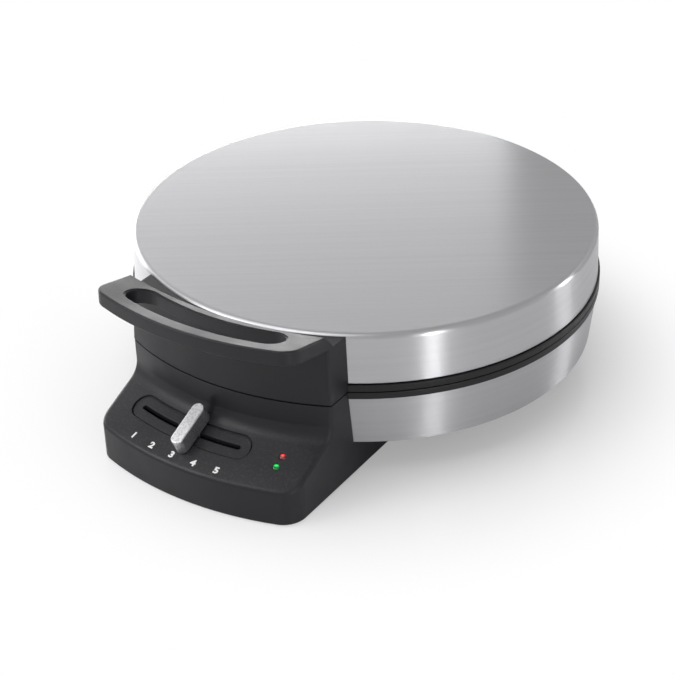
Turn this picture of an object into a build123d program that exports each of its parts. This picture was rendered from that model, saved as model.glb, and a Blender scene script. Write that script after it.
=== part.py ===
from build123d import *
import os
from math import atan2, cos, degrees, hypot, radians, sin, sqrt, tan

# Heart waffle maker: a round steel drum, split into a base and a hinged lid, on a plastic foot
# that carries the slider for the browning level. All sizes are in millimetres.
# While the pieces are made, the drum's axis is the Z axis, the floor is z = 0 and the front is -Y.
# Plan angles are measured from the front, positive towards +X.

# Heights of the stack, from the floor
foot_height = 1.2
band_bottom_z = 17.6
band_height = 24.4
ring_height = 3.35
parting_gap = 0.3
reveal = 0.5
cover_height = 23.5

# Drum
drum_radius = 110.0
cover_flare = 1.0
cover_edge_round = 2.5
sheet = 0.8
band_top_reach = 1.4
band_taper = 2.8
ring_reach = 2.0
ring_edge_round = 0.5
shell_wall = 2.2
roof_thickness = 2.0

# Gaps between fixed pieces, and fits of the moving ones
skin_gap = 0.1
seat_gap = 0.15
fixed_gap = 0.02
running_gap = 0.05
show_gap = 0.3

# Front block of the lid
block_half_width = 53.5
block_draft = 2.9
seam_reveal = 0.4
skirt_lap = 1.8
skirt_gap = 0.2
block_reach = 13.5
block_corner_round = 1.2
block_wall = 3.0
block_rib = 9.0
block_screw_x = 32.0
block_screw_drop = 13.0
block_screw_length = 12.0

# Foot frame
frame_wall = 2.5
panel_slope = 25.0
panel_reach = 40.2
panel_foot_flare = 0.4
panel_edge_z = 17.6
panel_hollow_round = 8.0
panel_round = 2.2
panel_corner_round = 11.0
rear_wall_reach = 7.5

# Handle
strip_drop = 0.6
strip_width = 3.0
slope_width = 4.4
slope_centre_y = 80.0
handle_back_rise = 5.0
handle_front_rise = 11.85
handle_reach = 35.3
handle_thickness = 7.0
handle_corner_round = 9.0
handle_edge_round = 0.8
grip_hole_reach = 12.5
grip_hole_width = 14.7
grip_hole_half_angle = 18.0
grip_rim_width = 0.7
grip_rim_depth = 0.5

# Slider and its scale
slot_reach = 23.6
slot_width = 2.0
slot_first_angle = -15.6
slot_last_angle = 8.6
recess_width = 10.3
recess_depth = 0.5
recess_end_margin = 2.0
recess_rim_width = 0.5
recess_rim_depth = 0.9
knob_rest_angle = -1.5
knob_length = 22.2
knob_width = 6.0
knob_height = 8.7
knob_offset = 0.8
knob_clearance = 0.4
knob_top_round = 0.7
blade_thickness = 1.4
blade_length = 4.6
arm_width = 12.0
arm_thickness = 1.5
arm_lift = 1.4
arm_drop = 6.2
arm_step_lean = 0.6
arm_hub_radius = 9.0
arm_tip_reach = 6.4
window_margin = 1.2
window_depth = 8.8
spindle_radius = 3.0
spindle_grip = 3.0

# Lamps
lamp_x = 39.4
power_lamp_reach = 24.3
ready_lamp_reach = 29.2
lens_radius = 1.5
lens_round = 0.75
lens_flange = 0.9
lens_flange_height = 1.0
lens_stand = 0.35
holder_size = (16.0, 11.0, 2.4)
holder_post_x = 6.5
holder_post_radius = 1.4

# Baking plates
plate_margin = 8.1
plate_flange = 4.0
plate_lip = 7.9
plate_thickness = 12.0
pocket_depth = 8.5
peg_drop = 2.5
peg_size = 7.5
peg_pitch = 11.5
peg_margin = 0.9
heart_count = 5
heart_margin = 2.5
divider = 2.4
divider_cut_width = 3.6
lobe_share_u = 0.7257
lobe_share_v = 0.2081
post_radius = 4.5
post_clearance = 3.85
post_angle = 51.1

# Heating elements, reflectors and controls
element_inset = 26.0
element_tube = 3.3
element_bend = 10.0
element_spread = 6.0
element_tail = 1.0
element_gap = 0.05
reflector_margin = 4.0
reflector_thickness = 0.8
reflector_hole_gap = 1.0
reflector_post_gap = 0.5
reflector_screw_inset = 18.0
reflector_screw_count = 3
reflector_screw_length = 5.5
boss_radius = 3.5
thermostat_radius = 12.0
thermostat_round = 1.0
thermostat_ear_reach = 7.0
thermostat_ear_width = 9.0
thermostat_ear_thickness = 1.2
thermostat_screw_reach = 3.6
thermostat_top = 2.0
plate_screw_bite = 2.6
bushing_radius = 5.0
bushing_length = 2.6
fuse_radius = 2.2
fuse_round = 0.9
fuse_length = 16.0
fuse_x = 28.0

# Screws
m4_radius = 2.0
m4_head_radius = 3.7
m4_head = 2.2
m3_radius = 1.5
m3_head_radius = 2.8
m3_head = 1.8
head_round_share = 0.4
screw_clearance = 0.1
screw_end_gap = 0.4
drive_share = 0.55
drive_width = 0.9
drive_depth = 0.9
lower_post_bite = 8.0
upper_post_bite = 6.0

# Bottom plate, feet and supply
bottom_sheet = 2.0
bottom_recess = 0.3
bottom_gap = 0.3
bottom_screw_length = 9.0
head_sink = 0.05
rubber_radius = 7.0
rubber_round = 0.4
rubber_stem = 3.0
rubber_stem_end = 0.8
rubber_x = 40.0
rubber_front_inset = 22.2
rubber_rear_inset = 16.5
frame_screw_x = 42.0
frame_screw_y = 50.0
floor_boss = 3.6
frame_boss_radius = 4.0
frame_boss_inset = 8.0
front_boss_inset = 7.5
rear_boss_inset = 28.5
terminal_size = (26.0, 14.0, 9.0)
terminal_well = 2.2
terminal_x = -28.0
terminal_y = 92.0
gland_x = -30.0
gland_z = 14.5
gland_bore = 3.6
gland_body = 6.0
gland_length = 9.5
gland_flange = 7.5
gland_flange_thickness = 2.0
gland_nut = 8.0
gland_nut_thickness = 3.0

# Lid hinge
knuckle_radius = 8.0
knuckle_room = 1.0
knuckle_relief = 0.6
knuckle_side_gap = 1.0
hinge_half_width = 42.0
hinge_block_drop = 13.5
hinge_block_round = 3.5
hinge_screw_x = 16.0
hinge_screw_drop = 4.3
hinge_screw_length = 9.0
lid_knuckle_half = 24.0
knuckle_inset = 1.5
pin_radius = 2.5
pin_bite = 10.0
lid_block_inset = 3.0

# Levels worked out from the stack
band_top_z = band_bottom_z + band_height
lower_face_z = band_top_z + ring_height
upper_face_z = lower_face_z + parting_gap
parting_z = (lower_face_z + upper_face_z) / 2
upper_ring_z = upper_face_z + ring_height
cover_rim_z = upper_ring_z + reveal
lid_top_z = cover_rim_z + cover_height
roof_top_z = lid_top_z - sheet - skin_gap
roof_low_z = roof_top_z - roof_thickness
floor_top_z = band_bottom_z + shell_wall
block_top_z = lid_top_z - strip_drop
block_screw_z = lid_top_z - block_screw_drop
block_low_z = upper_face_z + seam_reveal
hinge_top_z = lid_top_z - hinge_block_drop
hinge_screw_z = hinge_top_z - hinge_screw_drop
tongue_top_z = lid_top_z - cover_edge_round - skin_gap
handle_back_z = lid_top_z + handle_back_rise
handle_front_z = lid_top_z + handle_front_rise
plinth_top_z = band_bottom_z - seat_gap
plinth_low_z = plinth_top_z - frame_wall
bottom_low_z = foot_height + bottom_recess
bottom_top_z = bottom_low_z + bottom_sheet
arm_z = floor_top_z + arm_lift
arm_low_z = arm_z - arm_drop
reflector_drop = 2 * element_tube + 2 * element_gap
lower_back_z = lower_face_z - plate_thickness
upper_back_z = upper_face_z + plate_thickness

# Reaches worked out from the drum
band_top_radius = drum_radius + band_top_reach
band_bottom_radius = band_top_radius - band_taper
ring_outer_radius = drum_radius + ring_reach
plate_flange_radius = drum_radius - plate_margin
plate_body_radius = plate_flange_radius - plate_lip
ring_inner_radius = plate_flange_radius + 2 * seat_gap + skin_gap
block_face_radius = drum_radius + block_reach
skirt_half_width = block_half_width - skirt_lap
hinge_skirt_half = hinge_half_width - skirt_lap
strip_reach = drum_radius + strip_width
slope_reach = strip_reach + slope_width
handle_front_radius = drum_radius + handle_reach
grip_hole_radius = drum_radius + grip_hole_reach + grip_hole_width / 2
panel_edge_radius = drum_radius + panel_reach
slot_radius = drum_radius + slot_reach
power_lamp_radius = drum_radius + power_lamp_reach
ready_lamp_radius = drum_radius + ready_lamp_reach
arm_step_radius = band_bottom_radius - arm_step_lean
arm_reach = slot_radius + arm_tip_reach
hinge_y = ring_outer_radius + knuckle_radius + knuckle_room
rear_wall_y = hinge_y + rear_wall_reach
lid_block_y = hinge_y - lid_block_inset
base_knuckle_inner = lid_knuckle_half + knuckle_side_gap
base_knuckle_outer = hinge_half_width - knuckle_inset
pin_inner = lid_knuckle_half - pin_bite
frame_boss_x = block_half_width - frame_boss_inset
frame_boss_ys = (front_boss_inset - block_face_radius, 0.0, rear_wall_y - rear_boss_inset)
rubber_front_y = panel_edge_radius - rubber_front_inset
rubber_rear_y = rear_wall_y - rubber_rear_inset

# Places under the baking plates
heart_reach = plate_body_radius - heart_margin
lobe_u = lobe_share_u * heart_reach
lobe_v = lobe_share_v * heart_reach
half_sector = 180.0 / heart_count
lobe_radius = lobe_u * sin(radians(half_sector)) - lobe_v * cos(radians(half_sector)) - divider / 2
element_radius = plate_body_radius - element_inset
element_end_y = plate_body_radius + element_tail
post_ring = element_radius + element_tube + post_clearance + post_radius
post_x = post_ring * sin(radians(post_angle))
post_y = post_ring * cos(radians(post_angle))
reflector_radius = plate_body_radius - reflector_margin
reflector_screw_radius = element_radius - reflector_screw_inset
thermostat_screw_x = thermostat_radius + thermostat_screw_reach

# The slider's travel about its rest, in degrees, and the place of the drum's axis in the part
slot_half_angle = degrees((blade_length / 2 + show_gap) / slot_radius)
slider_first = slot_first_angle + slot_half_angle - knob_rest_angle
slider_last = slot_last_angle - slot_half_angle - knob_rest_angle
slope_rise = tan(radians(panel_slope))
front_reach = panel_edge_radius + panel_foot_flare
rear_reach = rear_wall_y + gland_flange_thickness
shift_y = (front_reach - rear_reach) / 2
big = 2 * drum_radius
pick_margin = 1.0


def panel_z(radius):
    """Height of the sloping panel at a radius."""
    return panel_edge_z + (panel_edge_radius - radius) * slope_rise


def cover_outer(z):
    """Outer radius of the steel cover at a height."""
    return drum_radius + cover_flare * (lid_top_z - z) / cover_height


def band_outer(z):
    """Outer radius of the base band at a height."""
    share = (z - band_bottom_z) / band_height
    return band_bottom_radius + band_taper * share


def polar(radius, angle):
    """Point in plan at a radius and a plan angle from the front."""
    return radius * sin(radians(angle)), -radius * cos(radians(angle))


def section(points):
    """Face in the radius and height plane."""
    return Plane.XZ * make_face(Polyline(*points, close=True))


def turned(face, first=-180.0, sweep=360.0):
    """Solid of revolution about the drum's axis, from one plan angle through a sweep."""
    return Rot(0, 0, first - 90) * revolve(face, Axis.Z, sweep)


def softened(face, corners):
    """Round the named corners of a section, each given as radius, height and rounding."""
    for radius, z, rounding in corners:
        corner = face.vertices().sort_by_distance((radius, 0, z))[0]
        face = fillet(corner, rounding)
    return face


def column(half_width, y_low, y_high, z_low, z_high):
    """Box that is centred on x = 0."""
    size = Box(2 * half_width, y_high - y_low, z_high - z_low)
    return Pos(0, (y_low + y_high) / 2, (z_low + z_high) / 2) * size


def rod(x, y, z_low, z_high, radius):
    """Upright cylinder between two heights."""
    return Pos(x, y, (z_low + z_high) / 2) * Cylinder(radius, z_high - z_low)


def arc_plan(radius, width, first, last):
    """Round-ended slot along an arc in plan, whose ends lie at two plan angles."""
    end = degrees(width / 2 / radius)
    path = CenterArc((0, 0), radius, first + end - 90, last - first - 2 * end)
    return SlotArc(path, width)


def through(plan, z_low, z_high):
    """Upright extrusion of a plan between two heights."""
    return Pos(0, 0, z_low) * extrude(plan, z_high - z_low)


def screw(shank_radius, length, head_radius, head_height):
    """Pan head screw with a cross drive: the head's seat is z = 0 and the shank points up."""
    shank = Pos(0, 0, length / 2) * Cylinder(shank_radius, length)
    head = Pos(0, 0, -head_height / 2) * Cylinder(head_radius, head_height)
    body = shank + head
    rim = body.edges().filter_by(GeomType.CIRCLE).group_by(Axis.Z)[0]
    body = fillet(rim, head_height * head_round_share)
    cut = Box(2 * drive_share * head_radius, drive_width, 2 * drive_depth)
    cross = cut + Rot(0, 0, 90) * cut
    return body - Pos(0, 0, -head_height) * cross


def four(x, y):
    """The four mirrored places of a point in plan."""
    return [(sx * x, sy * y) for sx in (-1, 1) for sy in (-1, 1)]


def group(solids):
    """Several separate solids kept in one node."""
    return Compound(list(solids))


# Lid

def lid_steel_cover():
    """Pressed steel cover, with its skirt cut away at the front and rear blocks."""
    rim = cover_outer(cover_rim_z)
    outer = turned(section([(0, cover_rim_z), (rim, cover_rim_z), (drum_radius, lid_top_z), (0, lid_top_z)]))
    outer = fillet(outer.edges().group_by(Axis.Z)[-1], cover_edge_round)
    low = cover_rim_z - reveal
    top = lid_top_z - sheet
    inner = turned(section([(0, low), (cover_outer(low) - sheet, low),
                            (cover_outer(top) - sheet, top), (0, top)]))
    inner = fillet(inner.edges().group_by(Axis.Z)[-1], cover_edge_round - sheet)
    gap_top = lid_top_z - cover_edge_round
    front_gap = column(skirt_half_width, -big, 0, 0, gap_top)
    rear_gap = column(hinge_skirt_half, 0, big, 0, hinge_top_z + skin_gap)
    return outer - inner - front_gap - rear_gap


def lid_shell():
    """Plastic inner shell of the lid: rim ring, wall and roof, with cups for the plate screws."""
    low = cover_outer(upper_ring_z) - sheet - skin_gap
    high = cover_outer(roof_top_z) - sheet - skin_gap
    outer = turned(section([(0, upper_ring_z), (low, upper_ring_z), (high, roof_top_z), (0, roof_top_z)]))
    outer = fillet(outer.edges().group_by(Axis.Z)[-1], cover_edge_round - sheet)
    ring = rod(0, 0, upper_face_z, upper_ring_z, ring_outer_radius)
    ring = fillet(ring.edges().filter_by(GeomType.CIRCLE), ring_edge_round)
    hollow_top = high - shell_wall
    hollow = turned(section([(0, 0), (ring_inner_radius, 0), (ring_inner_radius, upper_ring_z),
                             (low - shell_wall, upper_ring_z + shell_wall), (hollow_top, roof_low_z),
                             (0, roof_low_z)]))
    shell = outer + ring - hollow
    cup_low = roof_top_z - m4_head - screw_clearance - roof_thickness
    for x, y in four(post_x, post_y):
        shell += rod(x, y, cup_low, roof_top_z, m4_head_radius + roof_thickness)
        shell -= rod(x, y, cup_low + roof_thickness, lid_top_z, m4_head_radius + 2 * screw_clearance)
        shell -= rod(x, y, 0, lid_top_z, m4_radius + screw_clearance)
    hole = Rot(90, 0, 0) * Cylinder(m4_radius + screw_clearance, 2 * block_screw_length)
    for x, y, z in block_screw_places(-1) + block_screw_places(1):
        shell -= Pos(x, y, z) * hole
    return shell


def lid_block_hollow(x_low, x_high, y_low, y_high):
    """Hollow of the lid's front block between two ribs."""
    size = Box(x_high - x_low, y_high - y_low, tongue_top_z - block_low_z - 2 * block_wall)
    return Pos((x_low + x_high) / 2, (y_low + y_high) / 2, (tongue_top_z + block_low_z) / 2) * size


def lid_block_hollows(y_low, y_high):
    """The three hollows of the front block, with a rib for each screw between them."""
    edge = block_half_width - block_wall
    near = block_screw_x - block_rib / 2
    far = block_screw_x + block_rib / 2
    spans = [(-edge, -far), (-near, near), (far, edge)]
    return [lid_block_hollow(a, b, y_low, y_high) for a, b in spans]


def cover_room(tongue):
    """Room for the lid's drum inside a block: round the bare shell, or round the steel skirt."""
    inset = sheet if tongue else -seat_gap
    low = cover_outer(upper_ring_z) - inset
    high = cover_outer(tongue_top_z) - inset
    rim = ring_outer_radius + seat_gap
    edge = drum_radius + seat_gap
    return turned(section([(0, 0), (rim, 0), (rim, upper_ring_z + skin_gap), (low, upper_ring_z + skin_gap),
                           (high, tongue_top_z), (edge, tongue_top_z), (edge, big), (0, big)]))


def block_screw_places(side):
    """Seats of the screws' heads inside the lid's shell, for the front (-1) or the rear block (1)."""
    reach = block_screw_x if side < 0 else hinge_screw_x
    z = block_screw_z if side < 0 else hinge_screw_z
    wall = cover_outer(z) - sheet - skin_gap - shell_wall
    seat = sqrt(wall ** 2 - (reach + m4_head_radius) ** 2)
    return [(x, side * seat, z) for x in (-reach, reach)]


def block_screws(side, length):
    """Screws of a length from inside the lid's shell into the front (-1) or the rear block (1)."""
    one = Rot(-90 * side, 0, 0) * screw(m4_radius, length, m4_head_radius, m4_head)
    return [Pos(*place) * one for place in block_screw_places(side)]


def drafted(reach, z):
    """Reach of the front block's sides or face at a height, from the reach at its lower edge."""
    return reach - (z - block_low_z) * tan(radians(block_draft))


def block_outline():
    """Room between the drafted sides of the front block, ahead of the drum's middle."""
    low = drafted(block_half_width, 0)
    high = drafted(block_half_width, big)
    face = make_face(Polyline((-low, 0), (low, 0), (high, big), (-high, big), close=True))
    return Pos(0, -drum_radius / 2, 0) * extrude(Plane.XZ * face, big)


def front_corners(solid):
    """Edges that run nearly upright at the front corners of a solid."""
    upright = []
    for edge in solid.edges():
        size = edge.bounding_box().size
        if size.Z > handle_thickness / 2 and size.Y < size.Z / 2:
            upright.append(edge)
    return ShapeList(upright).group_by(Axis.Y)[0]


def front_handle():
    """Front block of the lid with the carrying handle: a loop that rises outwards."""
    rise = (handle_front_z - handle_back_z) / (handle_front_radius - slope_reach)
    under_z = handle_back_z + (block_face_radius - slope_reach) * rise - handle_thickness
    back_z = handle_back_z - (slope_reach - strip_reach) * rise
    join_z = under_z + handle_thickness / 2
    core = drum_radius / 2
    block = turned(section([(core, block_low_z), (block_face_radius, block_low_z),
                            (drafted(block_face_radius, join_z), join_z), (strip_reach, join_z),
                            (core, block_top_z)]), -90, 180)
    outline = block_outline()
    block = block & outline
    block = fillet(front_corners(block), block_corner_round)
    loop = turned(section([(strip_reach - frame_wall, block_top_z), (block_face_radius, under_z),
                           (handle_front_radius, handle_front_z - handle_thickness),
                           (handle_front_radius, handle_front_z), (slope_reach, handle_back_z),
                           (strip_reach - frame_wall, back_z)]), -90, 180)
    loop = loop & outline
    loop = fillet(front_corners(loop), handle_corner_round)
    loop = fillet(loop_rims(loop), handle_edge_round)
    handle = block + loop
    foot = strip_reach + slope_centre_y
    shoulder = slope_reach + slope_centre_y
    climb = (handle_back_z - block_top_z) / (slope_reach - strip_reach)
    over = 2 * (handle_front_z - block_top_z)
    high = handle_back_z + over
    back_cut = turned(section([(core, block_top_z), (foot, block_top_z), (shoulder, handle_back_z),
                               (shoulder + over / climb, high), (core, high)]))
    reach = block_half_width + frame_wall
    back_cut = back_cut & column(reach, -big, -core, 0, big)
    handle -= Pos(0, slope_centre_y, 0) * back_cut
    hole = arc_plan(grip_hole_radius, grip_hole_width, -grip_hole_half_angle, grip_hole_half_angle)
    handle -= through(hole, under_z - handle_thickness / 2, big)
    handle -= grip_rim(rise)
    inner_half = skirt_half_width - skirt_gap
    tongue = handle & column(inner_half, -big, 0, 0, big)
    handle = (handle - cover_room(False)) + (tongue - cover_room(True))
    for hollow in lid_block_hollows(-block_face_radius + block_wall, -core):
        wall = block_face_radius - block_wall
        limit = turned(section([(core, 0), (drafted(wall, 0), 0), (drafted(wall, big), big), (core, big)]))
        handle -= hollow & limit
    for one in block_screws(-1, block_screw_length):
        handle -= one
    return handle


def loop_rims(loop):
    """Upper and lower edges of the handle's loop, along its front and its two sides."""
    picked = []
    for edge in loop.edges():
        box = edge.bounding_box()
        half = handle_thickness / 2
        upright = box.max.Z - box.min.Z > half and box.max.Y - box.min.Y < half
        at_side = min(abs(box.min.X), abs(box.max.X)) > block_half_width / 2 and box.min.X * box.max.X > 0
        at_front = box.min.Y < -block_face_radius
        if (at_side or at_front) and not upright and box.max.Y < -drum_radius / 2:
            picked.append(edge)
    return picked


def grip_rim(rise):
    """Shallow rebate round the top of the finger slot, along the handle's slope."""
    width = grip_hole_width + 2 * grip_rim_width
    margin = degrees(grip_rim_width / grip_hole_radius)
    plan = arc_plan(grip_hole_radius, width, -grip_hole_half_angle - margin, grip_hole_half_angle + margin)
    inner, outer = grip_hole_radius - width, grip_hole_radius + width
    low = handle_back_z - grip_rim_depth
    floor_inner = low + (inner - slope_reach) * rise
    floor_outer = low + (outer - slope_reach) * rise
    above = turned(section([(inner, floor_inner), (outer, floor_outer), (outer, big), (inner, big)]), -90, 180)
    return through(plan, 0, big) & above


def lid_hinge_block():
    """Rear block of the lid, with the middle knuckle of the hinge and room for the outer ones."""
    core = drum_radius / 2
    block = column(hinge_half_width, core, lid_block_y, upper_face_z, hinge_top_z)
    upright = block.edges().filter_by(Axis.Z).group_by(Axis.Y)[-1]
    block = fillet(upright, hinge_block_round)
    top = block.edges().filter_by(Axis.X).group_by(Axis.Z)[-1].sort_by(Axis.Y)[-1]
    block = fillet(top, hinge_block_round)
    tongue = block & column(hinge_skirt_half - skirt_gap, 0, big, 0, big)
    block = (block - cover_room(False)) + (tongue - cover_room(True))
    pocket_half = (hinge_half_width - lid_knuckle_half) / 2
    for side in (-1, 1):
        middle = side * (lid_knuckle_half + pocket_half)
        barrel = Rot(0, 90, 0) * Cylinder(knuckle_radius + knuckle_relief, 2 * pocket_half)
        block -= Pos(middle, hinge_y, parting_z) * barrel
    knuckle = Rot(0, 90, 0) * Cylinder(knuckle_radius, 2 * lid_knuckle_half)
    block += Pos(0, hinge_y, parting_z) * knuckle
    bore = Rot(0, 90, 0) * Cylinder(pin_radius + running_gap, 2 * lid_knuckle_half)
    block -= Pos(0, hinge_y, parting_z) * bore
    for one in block_screws(1, hinge_screw_length):
        block -= one
    return block


# Baking plates

def heart_plan():
    """Outline of one heart on its own axis, with its tip at the middle of the plate."""
    s = sin(radians(half_sector))
    c = cos(radians(half_sector))
    tip = divider / 2 / s
    cleft = lobe_u + sqrt(lobe_radius ** 2 - lobe_v ** 2)
    touch = (lobe_u - s * lobe_radius, lobe_v + c * lobe_radius)
    corners = [(tip, 0), touch, (lobe_u, lobe_v), (cleft, 0), (lobe_u, -lobe_v), (touch[0], -touch[1])]
    plan = make_face(Polyline(*corners, close=True))
    return plan + Pos(lobe_u, lobe_v) * Circle(lobe_radius) + Pos(lobe_u, -lobe_v) * Circle(lobe_radius)


def inside_heart(u, v, margin):
    """True where a point of the heart lies at least a margin inside its outline."""
    v = abs(v)
    if hypot(u - lobe_u, v - lobe_v) <= lobe_radius - margin:
        return True
    side = u * sin(radians(half_sector)) - v * cos(radians(half_sector))
    return u <= lobe_u and side >= divider / 2 + margin


def peg_places():
    """Middles of the square pegs that fit inside one heart, on a grid about its axis."""
    steps = range(-4, 12)
    half = peg_size / 2
    places = []
    for i in steps:
        for j in steps:
            u = (i + 0.5) * peg_pitch
            v = j * peg_pitch
            corners = [(u + a * half, v + b * half) for a in (-1, 1) for b in (-1, 1)]
            if all(inside_heart(a, b, peg_margin) for a, b in corners):
                places.append((u, v))
    return places


def heart_pocket():
    """Metal taken out of a plate for one heart: the face is z = 0 and the plate lies below."""
    pocket = Pos(0, 0, -pocket_depth) * extrude(heart_plan(), pocket_depth)
    deep = pocket_depth - peg_drop
    for u, v in peg_places():
        pocket -= Pos(u, v, -pocket_depth + deep / 2) * Box(peg_size, peg_size, deep)
    return pocket


def divider_cut():
    """Shallow cut along the line between two hearts, so that they join at their sides."""
    length = lobe_u * cos(radians(half_sector))
    return Pos(length / 2, 0, -peg_drop / 2) * Box(length, divider_cut_width, peg_drop)


def baking_plate(post_length):
    """Cast plate with five hearts: its face is z = 0 and its back is below it."""
    plate = Pos(0, 0, -plate_flange / 2) * Cylinder(plate_flange_radius, plate_flange)
    plate += Pos(0, 0, -plate_thickness / 2) * Cylinder(plate_body_radius, plate_thickness)
    plate = fillet(plate.edges().group_by(Axis.Z)[0], peg_drop)
    pocket = heart_pocket()
    for k in range(heart_count):
        turn = -90 + 2 * half_sector * k
        plate -= Rot(0, 0, turn) * pocket
        plate -= Rot(0, 0, turn + half_sector) * divider_cut()
    for x, y in four(post_x, post_y):
        plate += rod(x, y, -plate_thickness - post_length, -plate_thickness, post_radius)
        plate -= rod(x, y, -plate_thickness - post_length, -plate_thickness, m4_radius + screw_clearance)
    for k in range(reflector_screw_count):
        x, y = polar(reflector_screw_radius, 360 * k / reflector_screw_count)
        plate += rod(x, y, -plate_thickness - reflector_drop, -plate_thickness, boss_radius)
        plate -= rod(x, y, -plate_thickness - reflector_drop, -plate_thickness, m3_radius + screw_clearance)
    for side in (-1, 1):
        hole = rod(0, 0, 0, plate_screw_bite, m3_radius + screw_clearance)
        plate -= Pos(side * thermostat_screw_x, 0, -plate_thickness) * hole
    return plate


def lower_baking_plate():
    """Lower plate, face up, on posts that stand on the bowl's floor."""
    return Pos(0, 0, lower_face_z) * baking_plate(lower_back_z - floor_top_z)


def upper_baking_plate():
    """Upper plate, face down, on posts that hang from the lid's roof."""
    cup_low = roof_top_z - m4_head - screw_clearance - roof_thickness
    return Pos(0, 0, upper_face_z) * Rot(0, 180, 0) * baking_plate(cup_low - upper_back_z)


def lower_plate_screws():
    """Screws from under the bowl into the lower plate's posts."""
    one = screw(m4_radius, shell_wall + lower_post_bite, m4_head_radius, m4_head)
    return group(Pos(x, y, band_bottom_z) * one for x, y in four(post_x, post_y))


def upper_plate_screws():
    """Screws from the roof's cups into the upper plate's posts."""
    one = Rot(180, 0, 0) * screw(m4_radius, roof_thickness + upper_post_bite, m4_head_radius, m4_head)
    seat = roof_top_z - m4_head - screw_clearance
    return group(Pos(x, y, seat) * one for x, y in four(post_x, post_y))


def heating_element():
    """Tubular element bent to a ring in the plane z = 0, with both ends led to the rear."""
    reach = element_spread + element_bend
    centre_y = sqrt((element_radius + element_bend) ** 2 - reach ** 2)
    lean = degrees(atan2(centre_y, reach))
    first = Line((element_spread, element_end_y), (element_spread, centre_y))
    bend = CenterArc((reach, centre_y), element_bend, 180, lean)
    ring = CenterArc((0, 0), element_radius, lean, -(180 + 2 * lean))
    back = CenterArc((-reach, centre_y), element_bend, -lean, lean)
    last = Line((-element_spread, centre_y), (-element_spread, element_end_y))
    path = Wire([first, bend, ring, back, last])
    start = Plane(origin=(element_spread, element_end_y, 0), z_dir=(0, -1, 0))
    return sweep(start * Circle(element_tube), path)


def reflector(back_z, away):
    """Thin heat reflector that holds the element against a plate, on the side away from it."""
    seat = back_z + away * reflector_drop
    middle = seat + away * reflector_thickness / 2
    disc = Pos(0, 0, middle) * Cylinder(reflector_radius, reflector_thickness)
    disc -= Pos(0, 0, middle) * Cylinder(thermostat_radius + reflector_hole_gap, 2 * reflector_thickness)
    for x, y in four(post_x, post_y):
        disc -= Pos(x, y, middle) * Cylinder(post_radius + reflector_post_gap, 2 * reflector_thickness)
    for k in range(reflector_screw_count):
        x, y = polar(reflector_screw_radius, 360 * k / reflector_screw_count)
        x = -x if away > 0 else x
        disc -= Pos(x, y, middle) * Cylinder(m3_radius + screw_clearance, 2 * reflector_thickness)
    return disc


def reflector_screws(back_z, away):
    """Three screws that hold a reflector to the bosses of its plate."""
    seat = back_z + away * (reflector_drop + reflector_thickness)
    one = screw(m3_radius, reflector_screw_length, m3_head_radius, m3_head)
    one = Rot(90 + 90 * away, 0, 0) * one
    solids = []
    for k in range(reflector_screw_count):
        x, y = polar(reflector_screw_radius, 360 * k / reflector_screw_count)
        x = -x if away > 0 else x
        solids.append(Pos(x, y, seat) * one)
    return group(solids)


def thermal_fuse(back_z, away):
    """Thermal fuse in its sleeve, against the back of a plate."""
    middle = back_z + away * (fuse_radius + element_gap)
    body = Pos(fuse_x, 0, middle) * Rot(90, 0, 0) * Cylinder(fuse_radius, fuse_length)
    return fillet(body.edges().filter_by(GeomType.CIRCLE), fuse_round)


def thermostat_body():
    """Thermostat under the lower plate, with its ears, their screw holes and the bushing for the spindle."""
    top = lower_back_z - element_gap
    low = lower_back_z - reflector_drop - reflector_thickness
    body = rod(0, 0, low, top, thermostat_radius)
    body = fillet(body.edges().group_by(Axis.Z)[0], thermostat_round)
    span = 2 * (thermostat_radius + thermostat_ear_reach)
    ears = Box(span, thermostat_ear_width, thermostat_ear_thickness)
    body += Pos(0, 0, top - thermostat_ear_thickness / 2) * ears
    body += rod(0, 0, low - bushing_length, low, bushing_radius)
    body -= rod(0, 0, low - bushing_length, top - thermostat_top, spindle_radius + running_gap)
    for side in (-1, 1):
        body -= rod(side * thermostat_screw_x, 0, 0, big, m3_radius + screw_clearance)
    return body


def thermostat_screws():
    """Two screws through the thermostat's ears into the plate."""
    seat = lower_back_z - element_gap - thermostat_ear_thickness
    length = thermostat_ear_thickness + plate_screw_bite - screw_end_gap
    one = screw(m3_radius, length, m3_head_radius, m3_head)
    return group(Pos(side * thermostat_screw_x, 0, seat) * one for side in (-1, 1))


# Base

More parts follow.
